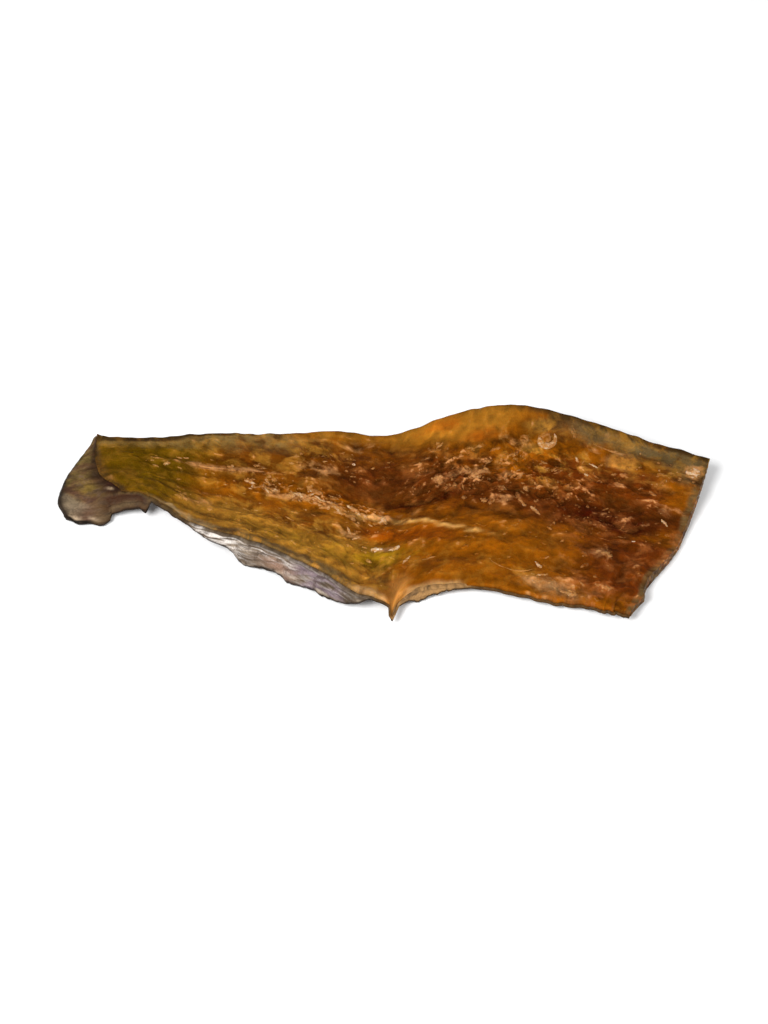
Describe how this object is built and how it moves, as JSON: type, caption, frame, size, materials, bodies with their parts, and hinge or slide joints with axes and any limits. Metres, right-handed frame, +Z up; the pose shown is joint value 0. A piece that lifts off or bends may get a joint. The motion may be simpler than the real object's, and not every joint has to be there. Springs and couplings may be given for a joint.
{
  "type": "dried whiting fillet",
  "caption": "Dried, slightly curled tail half of a skin-on white fish fillet, flesh side up, with a bare tail tip and a straight cut across its thick end.",
  "frame": {"origin": "centre of the bounding box, on the ground under the fillet", "axes": "+X from the tail to the cut end, +Y towards the back of the fish, +Z up, out of the flesh side"},
  "size_m": [0.1296, 0.0486, 0.0105],
  "materials": {
    "dried_flesh": "semi-gloss, dried and slightly oily amber flesh with dark red-brown band",
    "fish_skin": "silvery grey dried skin with fine scale pockets, satin"
  },
  "bodies": {
    "root": {"fillet": "dried_flesh"}
  },
  "joints": []
}
